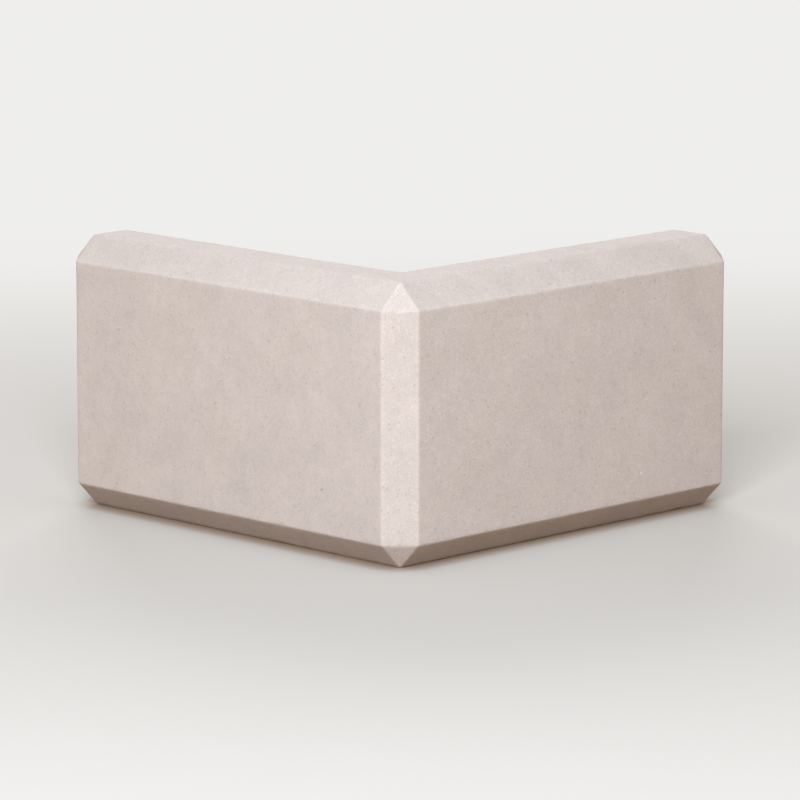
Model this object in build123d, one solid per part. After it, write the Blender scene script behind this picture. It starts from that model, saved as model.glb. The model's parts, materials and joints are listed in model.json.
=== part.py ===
"""Quoin stone: one L-shaped cast stone that wraps the outside corner of a wall.

Two equal legs meet at a right angle. Their outer faces are on show, their back faces bed
against the two sides of the wall, and the flat beds above and below take the joints.
Every edge on show is splayed at 45 degrees. Where three splays meet, the corner of the
stone ends in a small three-sided facet.
"""
import os

from build123d import *

# Driving dimensions in millimetres
leg_length = 350.0  # each face on show, from the outer corner of the wall to the end of the leg
course_height = 200.0  # from the bottom bed to the top bed
leg_thickness = 50.0  # from a face on show to the back face behind it
edge_splay = 18.0  # how far each splay cuts into the two faces that it joins
cove_radius = 6.0  # hollow rounding that the mould leaves in the inside corner

# Lines of the plan, the same along X and along Y. The origin is at the middle of the
# stone's footprint, on the bottom bed, and the outer corner points to -X and -Y.
show_line = -leg_length / 2  # outer faces
back_line = show_line + leg_thickness  # back faces
end_line = show_line + leg_length  # end faces of the legs


def edges_on_show(show_faces, end_faces, back_faces):
    """All edges of the outer and end faces, except those that lie against the wall."""
    outline = ShapeList()
    for face in show_faces + end_faces:
        outline += face.edges()
    hidden = ShapeList()
    for face in back_faces:
        hidden += face.edges()
    return ShapeList(set(outline)) - hidden


with BuildPart() as stone:
    # The L of the plan, raised to the height of one course
    with BuildSketch():
        with BuildLine():
            Polyline(
                (show_line, show_line),
                (end_line, show_line),
                (end_line, back_line),
                (back_line, back_line),
                (back_line, end_line),
                (show_line, end_line),
                close=True,
            )
        make_face()
    extrude(amount=course_height)

    # Across each leg there is an outer face, then a back face, then the end of the other leg
    show_x, back_x, end_x = stone.faces().filter_by(Axis.X).sort_by(Axis.X)
    show_y, back_y, end_y = stone.faces().filter_by(Axis.Y).sort_by(Axis.Y)
    inside_corner = back_x.edges() & back_y.edges()
    splayed = edges_on_show([show_x, show_y], [end_x, end_y], [back_x, back_y])

    # One splay of the same size all round gives square-cut strips and three-sided corners
    chamfer(splayed, length=edge_splay)

    # The mould's rounded inside corner, which stands clear of the wall's own arris
    cove = stone.edges().filter_by(Axis.Z).sort_by_distance(inside_corner[0].center())[0]
    fillet(cove, radius=cove_radius)

quoin_stone = stone.part
quoin_stone.label = "quoin_stone"

os.makedirs("parts", exist_ok=True)
export_step(quoin_stone, "parts/quoin_stone.step")

box = quoin_stone.bounding_box().size
print(f"quoin_stone {box.X:.1f} x {box.Y:.1f} x {box.Z:.1f} mm, {quoin_stone.volume / 1e6:.3f} litres")
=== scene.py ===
# %% [markdown]
# A quoin stone, dressed and lit
#
# A quoin is the stone at the outside corner of a wall. This one is cast stone in the shape
# of an L: two legs of the same length wrap the corner, and every edge on show is cut back at
# 45 degrees, which masons call a splay. The solid already has its real size and its place,
# so nothing here moves or resizes it. What this lesson adds is everything that makes a
# plain solid look like stone: softened arrises, faces that are flat only to the eye, air
# holes, a struck back, the grain of the sand, and a plain studio to see it all in.

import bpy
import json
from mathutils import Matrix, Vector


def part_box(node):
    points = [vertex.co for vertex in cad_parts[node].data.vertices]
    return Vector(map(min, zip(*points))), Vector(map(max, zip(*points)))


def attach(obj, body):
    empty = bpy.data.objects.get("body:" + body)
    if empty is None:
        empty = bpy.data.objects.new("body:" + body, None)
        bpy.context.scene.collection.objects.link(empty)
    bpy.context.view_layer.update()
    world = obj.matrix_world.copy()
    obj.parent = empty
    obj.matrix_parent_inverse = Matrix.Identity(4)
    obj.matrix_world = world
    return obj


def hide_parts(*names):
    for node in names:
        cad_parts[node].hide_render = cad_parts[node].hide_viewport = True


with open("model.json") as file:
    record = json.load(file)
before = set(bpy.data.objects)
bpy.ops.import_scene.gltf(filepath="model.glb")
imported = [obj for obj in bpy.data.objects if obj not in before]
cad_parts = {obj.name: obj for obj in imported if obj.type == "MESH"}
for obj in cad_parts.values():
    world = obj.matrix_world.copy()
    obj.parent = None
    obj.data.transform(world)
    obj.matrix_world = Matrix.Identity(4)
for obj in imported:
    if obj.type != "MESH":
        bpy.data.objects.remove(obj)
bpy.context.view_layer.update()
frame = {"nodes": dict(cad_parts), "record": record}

# %% [markdown]
# Measure before making
#
# A mason takes the sizes off the drawing before touching the stone. Here the drawing is the
# solid itself. Its mesh gives the legs, the height and the splay, and the plane of its back
# faces comes from the place where the wall bears on it. Sizes could also be typed in again,
# but then they would stay behind when the solid changes. Only working sizes that a drawing
# doesn't hold, such as how far an arris is rounded, are given further down.

# %% Take the stone's sizes from the solid
import json
import math
from collections import namedtuple

import bmesh
import bpy
import numpy as np
from mathutils import Vector, noise

MM = 0.001
solid = frame["nodes"]["quoin_stone"]
low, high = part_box("quoin_stone")
centre = (low + high) / 2
mount_places = {mount["name"]: mount["pos_m"] for mount in frame["record"]["mounts"]}
back_line = mount_places["back_of_x_leg"][1]
on_top = high.z - 0.01 * MM
bed_corners = [vert.co for vert in solid.data.vertices if vert.co.z > on_top]
splay = min(corner.x for corner in bed_corners) - low.x
print(f"leg {(high.x - low.x) / MM:.1f} mm, height {(high.z - low.z) / MM:.1f} mm")
print(f"thickness {(back_line - low.y) / MM:.1f} mm, splay {splay / MM:.1f} mm")

# %% [markdown]
# The arrises
#
# An arris is the sharp line where two faces meet. A mould can't cast it dead sharp, and
# handling takes off the rest, so on a real stone it is a narrow round. The solid's triangles
# are first joined into whole faces. Then the edges are bevelled in a few steps: a bevel
# keeps every face flat right up to the round, which a subdivision surface would not.

# %% Join the solid's triangles into faces and round the arrises
weld_gap = 0.001 * MM
flat_turn = math.radians(1)
arris_turn = math.radians(30)
arris_cut = 0.8 * MM
arris_steps = 3

stone = bmesh.new()
stone.from_mesh(solid.data)
bmesh.ops.remove_doubles(stone, verts=stone.verts, dist=weld_gap)
bmesh.ops.dissolve_limit(stone, angle_limit=flat_turn, verts=stone.verts, edges=stone.edges)
arrises = [edge for edge in stone.edges if edge.calc_face_angle(0) > arris_turn]
arris_lines = np.array([[list(vert.co) for vert in edge.verts] for edge in arrises])
bmesh.ops.bevel(
    stone,
    geom=arrises,
    offset=arris_cut,
    offset_type="OFFSET",
    segments=arris_steps,
    profile=0.5,
    affect="EDGES",
)
print(f"{len(arris_lines)} arrises rounded, {len(stone.faces)} faces so far")

# %% [markdown]
# A mesh fine enough to shape
#
# A large flat face has no points in its middle, so nothing there could be dented. A voxel
# remesh would give it points, but would blunt the arrises too. Slicing the whole stone by
# three families of parallel planes lays an even grid over all of it and keeps it flat and
# closed. The slices stop at the splays and at the back faces, so that no thin leftover strips
# are made beside them.

# %% Slice the stone into a grid
grid_step = 3.6 * MM
slice_snap = 0.02 * MM


def slices(stops):
    """Places to cut along one axis: at each stop, and evenly between the stops."""
    places = []
    for start, end in zip(stops, stops[1:]):
        steps = max(1, round((end - start) / grid_step))
        places.extend(np.linspace(start, end, steps + 1)[1:])
    return places[:-1]


for axis in range(3):
    across = Vector([float(axis == other) for other in range(3)])
    stops = [low[axis], low[axis] + splay, high[axis] - splay, high[axis]]
    if axis < 2:
        stops.insert(2, back_line)
    for place in slices(stops):
        everything = stone.verts[:] + stone.edges[:] + stone.faces[:]
        bmesh.ops.bisect_plane(
            stone, geom=everything, dist=slice_snap, plane_co=across * place, plane_no=across
        )
print(f"{len(stone.faces)} faces after slicing")

# %% [markdown]
# More points near the arrises
#
# Wear is a matter of a millimetre or two, so the grid is too wide for it. A finer grid all
# over would make the stone heavy, so only the long edges close to an arris are halved. How
# near a point is to the nearest arris is worked out for all points at once, because it is
# asked again further on.

# %% Halve the long edges near the arrises
halved_band = 5.0 * MM
longest_edge = 2.2 * MM


def arris_distance(points):
    """How far each point is from the nearest arris line of the solid."""
    nearest = np.full(len(points), np.inf)
    for start, end in arris_lines:
        run = end - start
        along = np.clip((points - start) @ run / (run @ run), 0, 1)
        gap = np.linalg.norm(points - (start + along[:, None] * run), axis=1)
        nearest = np.minimum(nearest, gap)
    return nearest


def near_arris(points, reach):
    """1 on an arris, falling smoothly to nothing some two reaches away."""
    return np.exp(-((arris_distance(points) / reach) ** 2))


middles = np.array([list((edge.verts[0].co + edge.verts[1].co) / 2) for edge in stone.edges])
lengths = np.array([edge.calc_length() for edge in stone.edges])
chosen = (arris_distance(middles) < halved_band) & (lengths > longest_edge)
long_edges = [edge for edge, wanted in zip(stone.edges[:], chosen) if wanted]
bmesh.ops.subdivide_edges(stone, edges=long_edges, cuts=1, use_grid_fill=True)
print(f"{len(stone.faces)} faces after halving {len(long_edges)} edges")

# %% [markdown]
# Relief
#
# Cast faces follow a mould that is never quite flat, and the arrises wear a little more in
# one place than in another. The back is struck off with a template that is drawn from bed
# to bed, so it keeps shallow drag lines that run upright. A Displace modifier could dent the
# faces, but it knows nothing of arrises or backs. So each point is pushed inward along its
# normal by a depth that adds up these causes. A depth is never negative, which keeps the
# stone inside its own drawing. Smooth noise gives the depths, because it has no seams and
# makes the same stone each time the script runs. The wear is squared, so that most of an
# arris keeps its line and only a few places are rubbed down.

# %% Push the points in
sway_depth = 0.14 * MM
sway_size = 55 * MM
wear_depth = 0.35 * MM
wear_size = 9 * MM
wear_reach = 1.4 * MM
drag_depth = 0.32 * MM
drag_size = 10 * MM
drag_length = 22
sway_seed, wear_seed, drag_seed = 11.3, 47.9, 83.1
back_margin = 0.8 * MM


def swing(point, size, seed):
    """Smooth noise from 0 to 1 whose swells are about one size apart."""
    return 0.5 + 0.5 * noise.noise(point / size + Vector((seed, seed, seed)))


def is_struck(point):
    """True on the two back faces and the hollow between them, pushed in or not."""
    return min(point[0], point[1]) > back_line - back_margin


stone.normal_update()
stone.verts.ensure_lookup_table()
rubbed = near_arris(np.array([list(vert.co) for vert in stone.verts]), wear_reach)
pushes = []
for vert, share in zip(stone.verts, rubbed):
    depth = sway_depth * swing(vert.co, sway_size, sway_seed)
    depth += wear_depth * swing(vert.co, wear_size, wear_seed) ** 2 * share
    if is_struck(vert.co):
        drawn = Vector((vert.co.x, vert.co.y, vert.co.z / drag_length))
        depth += drag_depth * swing(drawn, drag_size, drag_seed)
    pushes.append(depth)
for vert, depth in zip(stone.verts, pushes):
    vert.co -= vert.normal * depth
print(f"deepest push {max(pushes) / MM:.2f} mm")

# %% [markdown]
# The dressed stone as a piece of its own
#
# The shaped points go into a mesh object that stands in for the plain solid. It rides on the
# stone's only body and takes its finish from the cast stone slot. Faces and splays could be
# pieces of their own, but the real stone is one casting, so it stays one piece.

# %% Keep the stone as a mesh object
mesh = bpy.data.meshes.new("dressed_quoin")
stone.to_mesh(mesh)
stone.free()
dressed = bpy.data.objects.new("dressed_quoin", mesh)
bpy.context.scene.collection.objects.link(dressed)
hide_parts("quoin_stone")
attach(dressed, "root")
print(f"{len(mesh.vertices)} points, {len(mesh.polygons)} faces")

# %% [markdown]
# Where the air holes are
#
# When the damp mix is rammed into the mould, small bubbles stay against its skin and leave
# round holes in the stone. On show they are few and tiny, since the mix is worked hardest
# there. The beds have more, and the struck back has the most, some of them drawn out along
# the height by the template. Placed by hand they would soon look like a pattern, so they are
# dealt out over each kind of face by area, from a fixed seed. The chance number is squared,
# which makes most of them small. One that would break an arris or another hole is left out.

# %% Deal the air holes out over the faces
AIR_HOLES = {
    "show": {"per_m2": 420, "least_radius": 0.20 * MM, "most_radius": 0.65 * MM, "drawn_out": 1.0},
    "bed": {"per_m2": 1100, "least_radius": 0.25 * MM, "most_radius": 0.95 * MM, "drawn_out": 1.0},
    "back": {"per_m2": 2000, "least_radius": 0.25 * MM, "most_radius": 1.60 * MM, "drawn_out": 1.4},
}
arris_margin = 2.5 * MM
level_enough = 0.9
chance = np.random.default_rng(5)
Hole = namedtuple("Hole", "kind place normal radius")


def kind_of(polygon):
    """Which kind of face a small piece of the stone belongs to."""
    if abs(polygon.normal.z) > level_enough:
        return "bed"
    return "back" if is_struck(polygon.center) else "show"


def deal(kind, polygons):
    """The air holes on one kind of face, before any is left out."""
    rule = AIR_HOLES[kind]
    areas = np.array([polygon.area for polygon in polygons])
    wanted = round(rule["per_m2"] * areas.sum())
    picks = chance.choice(len(polygons), wanted, p=areas / areas.sum())
    growth = (rule["most_radius"] / rule["least_radius"]) ** (chance.random(wanted) ** 2)
    return [
        Hole(kind, np.array(polygons[pick].center), np.array(polygons[pick].normal), radius)
        for pick, radius in zip(picks, rule["least_radius"] * growth)
    ]


def stands_clear(hole, others):
    """True if the stone left beside each other hole is as wide as the two are on average."""
    return all(
        np.linalg.norm(hole.place - other.place) > 2 * (hole.radius + other.radius) for other in others
    )


polygons_of = {kind: [] for kind in AIR_HOLES}
for polygon in mesh.polygons:
    polygons_of[kind_of(polygon)].append(polygon)
holes = []
for kind, polygons in polygons_of.items():
    dealt = deal(kind, polygons)
    gaps = arris_distance(np.array([hole.place for hole in dealt]))
    for hole, gap in zip(dealt, gaps):
        if gap > arris_margin and stands_clear(hole, holes):
            holes.append(hole)
widest = 2 * max(hole.radius for hole in holes)
print(f"{len(holes)} air holes, largest {widest / MM:.1f} mm across")

# %% [markdown]
# The shape of a bubble
#
# A hole drawn only as bump looks painted on from the side, so each one is cut for real. Its
# cutter is a ball, because that is what a bubble is, but squashed and dented by chance and
# sunk to about its middle, or the holes would look drilled.

# %% Make a dented ball for each air hole
BALL_LEAST = (0.80, 0.85, 0.75)
BALL_MOST = (1.15, 1.25, 1.20)
dent_depth = 0.10
shallowest = -0.10
deepest = 0.35

ball = bmesh.new()
bmesh.ops.create_icosphere(ball, subdivisions=2, radius=1.0)
ball_points = np.array([list(vert.co) for vert in ball.verts])
ball_faces = np.array([[vert.index for vert in face.verts] for face in ball.faces])
ball.free()


def bubble(hole):
    """Points of one dented ball, sunk into the stone."""
    squash = chance.uniform(BALL_LEAST, BALL_MOST) * [1.0, AIR_HOLES[hole.kind]["drawn_out"], 1.0]
    dents = 1 + dent_depth * chance.standard_normal(len(ball_points))[:, None]
    turn = np.array(Vector(hole.normal).to_track_quat("Z", "Y").to_matrix())
    middle = hole.place - hole.normal * hole.radius * chance.uniform(shallowest, deepest)
    return (ball_points * dents * squash * hole.radius) @ turn.T + middle


bubbles = np.concatenate([bubble(hole) for hole in holes])
bubble_faces = np.concatenate([ball_faces + count * len(ball_points) for count in range(len(holes))])
print(f"{len(bubble_faces)} faces in {len(holes)} bubbles")

# %% [markdown]
# Cutting the air holes
#
# All the balls are one mesh, so one Boolean takes them out at once, which is far quicker
# than hundreds of small cuts. Its result is kept as a plain mesh, and the cutter is thrown
# away. The rims are then marked sharp, or smooth shading would smear a dark patch around
# every hole.

# %% Cut the air holes out of the stone
rim_turn = math.radians(35)

cutter_mesh = bpy.data.meshes.new("air_hole_cutters")
cutter_mesh.from_pydata(bubbles.tolist(), [], bubble_faces.tolist())
cutter = bpy.data.objects.new("air_hole_cutters", cutter_mesh)
bpy.context.scene.collection.objects.link(cutter)

cut = dressed.modifiers.new("air_holes", "BOOLEAN")
cut.operation = "DIFFERENCE"
cut.solver = "MANIFOLD"
cut.object = cutter
shaped = dressed.evaluated_get(bpy.context.evaluated_depsgraph_get())
dressed.data = bpy.data.meshes.new_from_object(shaped)
dressed.modifiers.clear()
bpy.data.objects.remove(cutter)
bpy.data.meshes.remove(cutter_mesh)
bpy.data.meshes.remove(mesh)
mesh = dressed.data
mesh.name = "dressed_quoin"
mesh.shade_smooth()
mesh.set_sharp_from_angle(angle=rim_turn)
triangles = sum(len(polygon.vertices) - 2 for polygon in mesh.polygons)
print(f"{len(mesh.vertices)} points, {triangles} triangles after cutting")

# %% [markdown]
# What the finish has to know
#
# Each arris gets a painted highlight: it is drawn a little paler than the face beside it,
# and wear polishes it a touch smoother. The back is greyer and coarser, since nothing smooth
# touched it, and so are the holes in it, which are told by how near a point is to a hole's
# centre. A material can't tell an arris or a back from its own nodes: Pointiness finds edges,
# but it changes with the density of the mesh. So both are measured here and kept on the
# points as two numbers from 0 to 1.

# %% Keep where the arris highlight is painted, and the struck back, on the points
highlight_and_polish_reach = 1.0 * MM
hole_reach = 1.9  # in radii of the hole

places = np.array([list(vert.co) for vert in mesh.vertices])
struck_points = np.array([is_struck(place) for place in places])
for hole in holes:
    if hole.kind == "back":
        struck_points |= np.linalg.norm(places - hole.place, axis=1) < hole_reach * hole.radius
# the arris mark says where the painted highlight goes, and where wear polishes the arris smoother
marks = {"arris": near_arris(places, highlight_and_polish_reach), "struck": struck_points.astype(float)}
for name, values in marks.items():
    mesh.attributes.new(name, "FLOAT", "POINT").data.foreach_set("value", values)
    print(f"{name}: {np.count_nonzero(values > 0.5)} points over a half")

# %% [markdown]
# Writing shader maths as plain sums
#
# A finish is a sum of causes too: a cloud of tone here, a grain of sand there. Wiring that
# by hand takes dozens of boxes. The small class below wraps one socket, so that an ordinary
# Python sum adds the Math nodes for it. Colours never go through those sums, because a Math
# node would turn them grey: they meet in Mix and Vector Math nodes.

# %% A socket that can be added and multiplied


class Wire:
    """One output socket in a finish, which takes part in ordinary sums."""

    def __init__(self, finish, socket):
        self.finish = finish
        self.socket = socket

    def other(self, output):
        """Another output of the same node."""
        return Wire(self.finish, self.socket.node.outputs[output])

    def sum(self, operation, *terms):
        """The Math node for one operation."""
        return self.finish.node("ShaderNodeMath", {"operation": operation}, dict(enumerate(terms)))

    def __add__(self, other):
        return self.sum("ADD", self, other)

    def __sub__(self, other):
        return self.sum("SUBTRACT", self, other)

    def __rsub__(self, other):
        return self.sum("SUBTRACT", other, self)

    def __mul__(self, other):
        return self.sum("MULTIPLY", self, other)

    __radd__ = __add__
    __rmul__ = __mul__


print("a wire can be added, taken away and multiplied, also as in 1 - mask")

# %% [markdown]
# One way to add a node
#
# Each finish is a tree of nodes. Any node could be made, set up and linked in its own few
# lines, but they would be the same lines over and over. One method does it for all: it takes
# the node's type, its settings and the values or wires of its sockets, in that order,
# because some settings change which sockets a node has. The helpers after it are the few
# combinations that the stone and the studio share.

# %% A finish and its nodes


class Finish:
    """The nodes of one material, or of the air around the stone."""

    def __init__(self, owner):
        self.owner = owner
        owner.use_nodes = True
        self.tree = owner.node_tree
        self.tree.nodes.clear()

    def node(self, kind, settings=None, sockets=None, output=0):
        """Adds a node, sets it up, fills its sockets and gives back one of its outputs."""
        made = self.tree.nodes.new(kind)
        for name, value in (settings or {}).items():
            setattr(made, name, value)
        for name, value in (sockets or {}).items():
            if isinstance(value, Wire):
                self.tree.links.new(value.socket, made.inputs[name])
            else:
                made.inputs[name].default_value = value
        return Wire(self, made.outputs[output]) if made.outputs else None

    def blend(self, share, under, over):
        """Colour that goes from under to over as share goes from 0 to 1."""
        settings = {"data_type": "RGBA", "clamp_factor": True}
        return self.node("ShaderNodeMix", settings, {0: share, 6: under, 7: over}, output=2)

    def shade(self, colour, strength):
        """The same colour, lighter or darker by a factor."""
        sockets = {0: colour, "Scale": strength}
        return self.node("ShaderNodeVectorMath", {"operation": "SCALE"}, sockets)

    def stretch(self, place, factors):
        """The same place, with each of its axes drawn out or squeezed."""
        return self.node("ShaderNodeVectorMath", {"operation": "MULTIPLY"}, {0: place, 1: factors})

    def noise(self, place, size, detail=2.0, roughness=0.5):
        """Noise around 0.5 whose largest swells are one size apart."""
        sockets = {"Vector": place, "Scale": 1 / size, "Detail": detail, "Roughness": roughness}
        return self.node("ShaderNodeTexNoise", {}, sockets)

    def step(self, value, start, end):
        """0 below start, 1 above end and a smooth rise between them."""
        settings = {"interpolation_type": "SMOOTHSTEP"}
        sockets = {"Value": value, "From Min": start, "From Max": end}
        return self.node("ShaderNodeMapRange", settings, sockets)


print("a finish has", ", ".join(name for name in vars(Finish) if not name.startswith("_")))

# %% [markdown]
# Tone of the cast stone
#
# Fine cast stone is crushed pale rock and sand in white cement. From a few steps away it is
# one soft off-white with a hint of pink. Closer, the tone drifts a little at every scale, from
# the width of a hand down to a grain of sand. One noise with many octaves of nearly the same
# strength gives that, where a few separate noises would show as blotches.

# %% Mix the tone
STONE_PINK = (0.640, 0.581, 0.566, 1)
STONE_SANDY = (0.638, 0.585, 0.561, 1)
drift_size = 32 * MM
drift_edges = (0.40, 0.60)
mottle_size = 44 * MM
mottle_strength = 0.40

cast = Finish(bpy.data.materials.new("cast_stone_face"))
where = cast.node("ShaderNodeTexCoord", output="Object")
mottle = cast.noise(where, mottle_size, detail=6.0, roughness=0.90)
drift = cast.noise(where, drift_size, detail=3.0, roughness=0.6)
tone = cast.blend(cast.step(drift, *drift_edges), STONE_PINK, STONE_SANDY)
lightness = 1 + (mottle - 0.5) * mottle_strength
print(f"mottle of {mottle_strength} over swells from {mottle_size / MM:.0f} mm down")

# %% [markdown]
# Grains of sand
#
# The sand itself shows as small rounded specks, some darker than the paste around them and
# some paler. Noise has no specks, so cells are used: each cell holds one grain, its distance
# gives the grain's round edge, and the cell's chance colour decides whether the grain
# differs from the paste at all.

# %% Scatter the sand grains
SAND = (
    {"size": 1.0 * MM, "share": 0.22, "change": -0.17},
    {"size": 1.3 * MM, "share": 0.25, "change": 0.14},
    {"size": 2.6 * MM, "share": 0.05, "change": -0.13},
)
all_or_none = 0.01
grain_edge = 0.2


def sand_grains(finish, place, size, share):
    """1 on the chosen grains and 0 on the paste between them."""
    gap = finish.node("ShaderNodeTexVoronoi", {}, {"Vector": place, "Scale": 1 / size})
    draw = finish.node("ShaderNodeSeparateColor", {}, {"Color": gap.other("Color")})
    chosen_cells = finish.step(draw, 1 - share, 1 - share + all_or_none)
    return chosen_cells * finish.step(0.5 - gap, 0.0, grain_edge)


for grain in SAND:
    lightness = lightness + sand_grains(cast, where, grain["size"], grain["share"]) * grain["change"]
print(f"{len(SAND)} kinds of sand grain")

# %% [markdown]
# Arrises and back
#
# The marks kept on the points come in here. The arris gets a painted highlight, drawn
# lighter, but not all along, so a noise breaks it up. The back leans towards the grey of
# plain cement and has fine lines along the way that the template was drawn. A wave texture
# would draw them evenly, as if combed, so they are ordinary noise, drawn out along the height.

# %% Paint the highlight on the arrises and tint the back
BACK_TONE = (0.545, 0.500, 0.475, 1)
back_share = 0.85
drag_contrast = 0.25
drag_width = 2.2 * MM
arris_highlight_gain = 0.07
arris_stretch = 14 * MM
arris_edges = (0.25, 0.55)

arris = cast.node("ShaderNodeAttribute", {"attribute_name": "arris"}, output="Fac")
arris = arris * cast.step(cast.noise(where, arris_stretch, detail=3.0), *arris_edges)
struck = cast.node("ShaderNodeAttribute", {"attribute_name": "struck"}, output="Fac")
drawn = cast.stretch(where, (1, 1, 1 / drag_length))
drag_lines = cast.noise(drawn, drag_width, detail=3.0, roughness=0.6)
tone = cast.blend(struck * back_share, tone, BACK_TONE)
# painted highlight: where the arris mark is, the colour is drawn a little paler
lightness = lightness + arris * arris_highlight_gain + struck * (drag_lines - 0.5) * drag_contrast
print(f"arris {arris_highlight_gain:.0%} paler, back {back_share:.0%} of the way to its own tone")

# %% [markdown]
# Fine relief and gloss
#
# Sand and drag lines that are finer than the mesh go into a bump, so that the low side light
# still finds them. Real points for them would take millions. Cast stone is matt all over. An
# arris that has been handled is a touch smoother, and the struck back a touch rougher.

# %% Finish the cast stone
sand_size = 0.9 * MM
sand_rise, mottle_rise, drag_rise = 0.7, 0.8, 1.6
bump_depth = 0.22 * MM
bump_strength = 0.4
stone_roughness = 0.90
arris_polish = 0.08
back_coarseness = 0.05
stone_gloss = 0.25

sand = cast.noise(where, sand_size, detail=2.0, roughness=0.6)
height = sand * sand_rise + mottle * mottle_rise + struck * drag_lines * drag_rise
sockets = {"Height": height, "Strength": bump_strength, "Distance": bump_depth}
relief = cast.node("ShaderNodeBump", {}, sockets)
surface = cast.node(
    "ShaderNodeBsdfPrincipled",
    {},
    {
        "Base Color": cast.shade(tone, lightness),
        "Roughness": stone_roughness - arris * arris_polish + struck * back_coarseness,
        "Specular IOR Level": stone_gloss,
        "Normal": relief,
    },
)
cast.node("ShaderNodeOutputMaterial", {}, {"Surface": surface})
mesh.materials.clear()
mesh.materials.append(cast.owner)
print(f"{len(cast.tree.nodes)} nodes in the cast stone finish")

# %% [markdown]
# The finish of the studio floor
#
# The stone stands on a plain pale floor that runs into a plain pale surround with no
# horizon. Near the stone the floor is an ordinary matt surface, so it takes the shadow.
# Further out it turns into the surround's own colour. What the stone receives from below is
# another matter: the light that comes back up is darker and warmer, as off a workshop floor,
# and it keeps the lower splays from going flat. Light Path tells the two apart. Under the
# overhang of the lower splays hardly any light gets in, and a pale floor that ran straight to
# the stone would make it float. So a contact shadow is painted there: an Ambient Occlusion
# node measures how closed in each spot is, and the seen floor takes the darker colour there.

# %% Mix the floor's finish
SURROUND = (0.86, 0.855, 0.845, 1)
FLOOR_NEAR = (0.66, 0.655, 0.645, 1)
# dark warm colour of the light off the floor, also painted on the seen floor as contact shadow
FLOOR_BOUNCE_AND_SHADE = (0.295, 0.20, 0.125, 1)
matt_until = 0.45
surround_from = 1.5
contact_reach = 16 * MM
wide_open = 0.9


def is_seen(finish):
    """1 for what is seen, straight or in something shiny or clear, and 0 for light."""
    ray = finish.node("ShaderNodeLightPath", output="Is Camera Ray")
    return ray + ray.other("Is Glossy Ray") + ray.other("Is Transmission Ray")


ground = Finish(bpy.data.materials.new("studio_floor"))
spot = ground.node("ShaderNodeTexCoord", output="Object")
reach = ground.node("ShaderNodeVectorMath", {"operation": "LENGTH"}, {0: spot}, output="Value")
far_out = ground.step(reach, matt_until, surround_from)
matt = ground.node("ShaderNodeBsdfDiffuse", {}, {"Color": FLOOR_NEAR})
glow = ground.node("ShaderNodeEmission", {}, {"Color": SURROUND})
shown = ground.node("ShaderNodeMixShader", {}, {0: far_out, 1: matt, 2: glow})
bounce_and_contact_shade = ground.node("ShaderNodeBsdfDiffuse", {}, {"Color": FLOOR_BOUNCE_AND_SHADE})
sockets = {"Distance": contact_reach}
# painted contact shadow: where the floor is closed in, the seen floor takes the dark bounce colour
openness = ground.node("ShaderNodeAmbientOcclusion", {"samples": 4}, sockets, output="AO")
shown_share = is_seen(ground) * ground.step(openness, 0.0, wide_open)
laid = ground.node("ShaderNodeMixShader", {}, {0: shown_share, 1: bounce_and_contact_shade, 2: shown})
ground.node("ShaderNodeOutputMaterial", {}, {"Surface": laid})
print(f"floor matt to {matt_until} m, surround from {surround_from} m")

# %% [markdown]
# The studio floor
#
# A square floor would show its corners in a low view, so it is a wide round disc with one
# face. It is left off the stone's body, because it isn't part of the stone.

# %% Lay the floor
floor_reach = 14.0
floor_sides = 96

rim = bmesh.new()
bmesh.ops.create_circle(rim, cap_ends=True, radius=floor_reach, segments=floor_sides)
floor_mesh = bpy.data.meshes.new("studio_floor")
rim.to_mesh(floor_mesh)
rim.free()
floor = bpy.data.objects.new("studio_floor", floor_mesh)
floor.data.materials.append(ground.owner)
bpy.context.scene.collection.objects.link(floor)
print(f"floor {2 * floor_reach:.0f} m across")

# %% [markdown]
# The surround
#
# The air does two jobs as well. It is the pale backdrop that the camera sees, and it is the
# soft fill that reaches every face, a little warm because it has been round the room. A
# painted backdrop would do the first job, but it would have to stand behind the stone in
# every view.

# %% Fill the air
FILL = (0.475, 0.445, 0.415, 1)

world = bpy.data.worlds.new("studio_surround")
bpy.context.scene.world = world
air = Finish(world)
fill = air.node("ShaderNodeBackground", {}, {"Color": FILL})
backdrop = air.node("ShaderNodeBackground", {}, {"Color": SURROUND})
around = air.node("ShaderNodeMixShader", {}, {0: is_seen(air), 1: fill, 2: backdrop})
air.node("ShaderNodeOutputWorld", {}, {"Surface": around})
print("fill", FILL[:3], "backdrop", SURROUND[:3])

# %% [markdown]
# Lamps
#
# Two square softboxes do the rest. The key stands in front, to the left and not much higher
# than the stone, so the corner strip and the top splays are brightest, the left face is
# lighter than the right, and the lower splays stay dark. The second one is low behind the
# stone and shapes the back. Small lamps would cut hard shadows that a soft studio light
# doesn't have. A softbox's level is the light that it throws on a face turned straight to
# it, whatever its distance, so the stone's colour comes out about as written.

# %% Hang the softboxes
corner_heading = 225  # degrees round from the X axis to the outer corner


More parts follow.
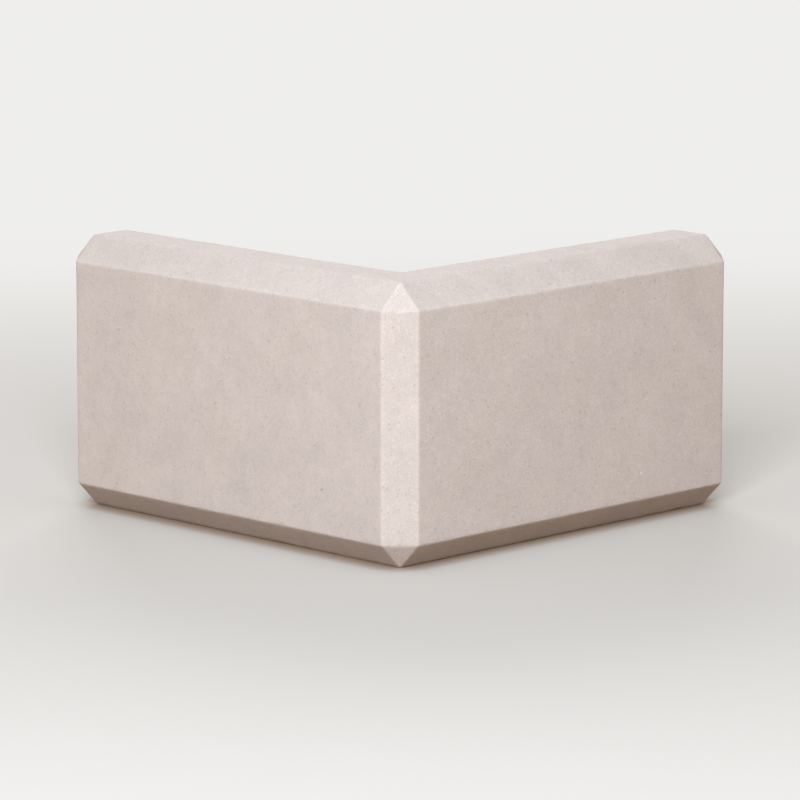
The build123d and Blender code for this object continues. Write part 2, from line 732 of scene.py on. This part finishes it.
def toward(bearing, height):
    """The way out of the stone at a bearing from its outer corner and a height, in degrees."""
    heading = math.radians(corner_heading + bearing)
    up = math.radians(height)
    return Vector((math.cos(heading) * math.cos(up), math.sin(heading) * math.cos(up), math.sin(up)))


def softbox(name, way, distance, side, level, tint):
    """A square lamp aimed at the stone."""
    lamp = bpy.data.lights.new(name, "AREA")
    lamp.shape = "SQUARE"
    lamp.size = side
    lamp.energy = level * (math.pi * distance) ** 2
    lamp.color = tint
    holder = bpy.data.objects.new(name, lamp)
    holder.location = centre + way * distance
    holder.rotation_mode = "QUATERNION"
    holder.rotation_quaternion = way.to_track_quat("Z", "Y")
    holder.visible_camera = False
    bpy.context.scene.collection.objects.link(holder)
    print(f"{name}: {side} m wide, {distance} m away, level {level}")


softbox("front_softbox", toward(-5.4, 26.2), distance=3.0, side=1.2, level=0.90, tint=(0.97, 1.0, 1.03))
softbox("back_softbox", toward(183.6, 21.6), distance=3.0, side=1.6, level=0.60, tint=(1.0, 1.0, 1.0))

# %% [markdown]
# The camera
#
# It looks at the outer corner, half way between the two legs, from a little above the
# stone. A long lens from a few metres away keeps the upright lines nearly parallel. The lens
# is worked out from the width that should fill the frame.

# %% Place the camera
view_height = 10.4  # degrees
view_distance = 3.685
frame_width = 0.565
sensor_width = 36  # millimetres, as camera makers give it

back = toward(0, view_height)
aim = Vector((low.x / 2, low.y / 2, centre.z))
camera_data = bpy.data.cameras.new("camera")
camera_data.sensor_width = sensor_width
camera_data.lens = sensor_width * view_distance / frame_width
camera = bpy.data.objects.new("camera", camera_data)
camera.location = aim + back * view_distance
camera.rotation_mode = "QUATERNION"
camera.rotation_quaternion = back.to_track_quat("Z", "Y")
bpy.context.scene.collection.objects.link(camera)
bpy.context.scene.camera = camera
bpy.context.scene.view_settings.view_transform = "Standard"
print(f"lens {camera_data.lens:.0f} mm at {view_distance:.2f} m")

# %% [markdown]
# The finished size
#
# Dressing only takes material off, so the finished stone has to fit inside the solid's box.
